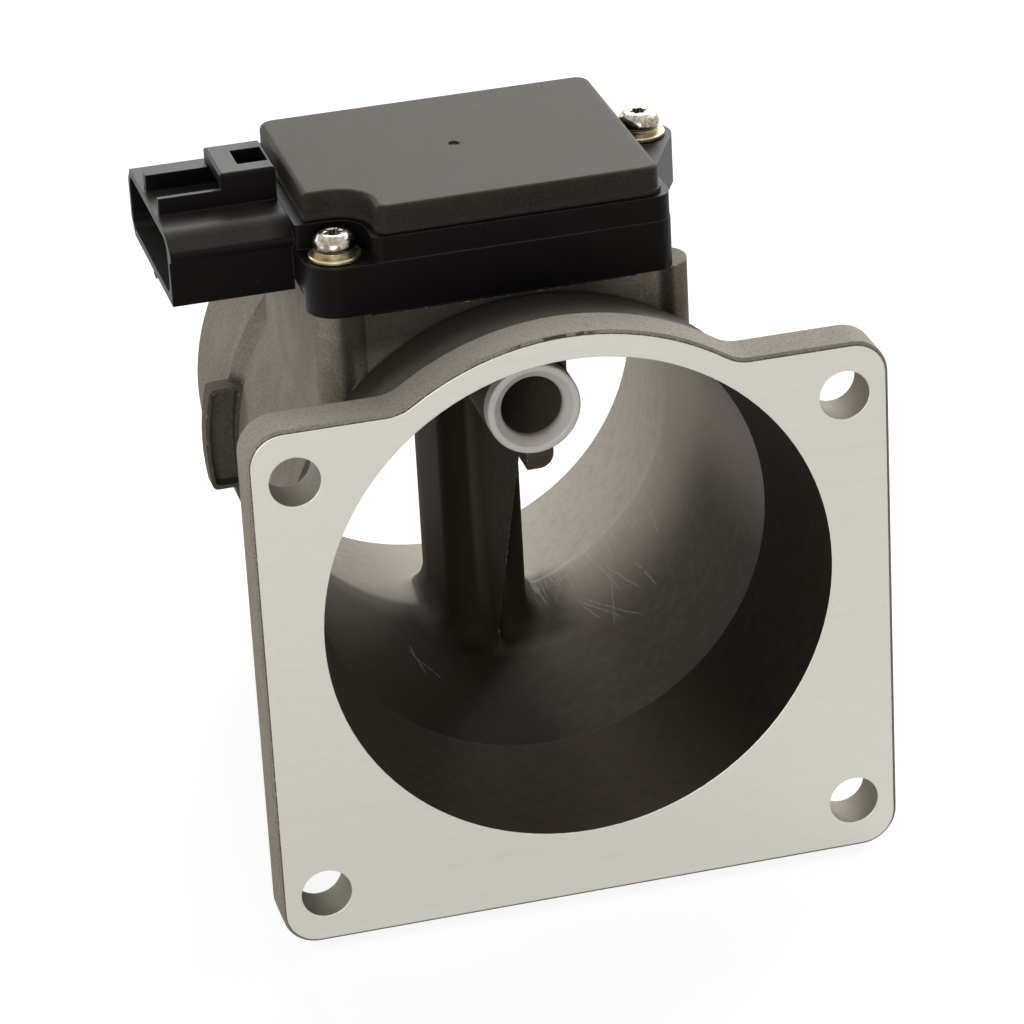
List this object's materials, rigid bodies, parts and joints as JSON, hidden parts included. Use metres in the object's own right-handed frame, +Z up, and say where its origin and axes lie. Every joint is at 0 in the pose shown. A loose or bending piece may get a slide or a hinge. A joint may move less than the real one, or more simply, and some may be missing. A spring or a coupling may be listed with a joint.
{
  "type": "mass airflow sensor",
  "caption": "Cast aluminium air meter body with a bolted inlet flange, a tapered bore with a sampling duct and pillar, and a black electronics module with a side connector on top.",
  "frame": {"origin": "centre of the bore on the machined front face of the inlet flange", "axes": "+Y along the bore in the direction of the air flow, +Z up through the electronics module, the connector opens toward -X"},
  "size_m": [0.1268, 0.124, 0.1372],
  "materials": {
    "cast_aluminium": "as cast, matt, with a machined front face",
    "white_nylon": "satin moulded",
    "case_plastic": "satin moulded",
    "cover_plastic": "satin moulded",
    "seal_silicone": "matt",
    "carrier_aluminium": "rolled",
    "board_ceramic": "matt",
    "chip_resin": "matt",
    "capacitor_ceramic": "matt",
    "element_ceramic": "glazed",
    "o_ring_rubber": "matt",
    "bushing_brass": "turned",
    "washer_yellow": "yellow passivated",
    "washer_spring": "plated",
    "screw_steel": "nickel plated",
    "terminal_tin": "tin plated",
    "post_steel": "bright"
  },
  "bodies": {
    "root": {"housing_casting": "cast_aluminium", "bypass_inlet_ring": "white_nylon", "module_case": "case_plastic", "module_cover": "cover_plastic", "cover_seal": "seal_silicone", "base_plate": "carrier_aluminium", "circuit_board": "board_ceramic", "control_chip": "chip_resin", "power_transistor": "chip_resin", "chip_resistors": "chip_resin", "filter_capacitors": "capacitor_ceramic", "hot_element": "element_ceramic", "cold_element": "element_ceramic", "probe_o_ring": "o_ring_rubber", "ear_bushings": "bushing_brass", "flat_washers": "washer_yellow", "lock_washers": "washer_spring", "module_screws": "screw_steel", "terminal_1": "terminal_tin", "terminal_2": "terminal_tin", "terminal_3": "terminal_tin", "terminal_4": "terminal_tin", "terminal_5": "terminal_tin", "terminal_6": "terminal_tin", "element_post_1": "post_steel", "element_post_2": "post_steel", "element_post_3": "post_steel", "element_post_4": "post_steel"}
  },
  "joints": []
}
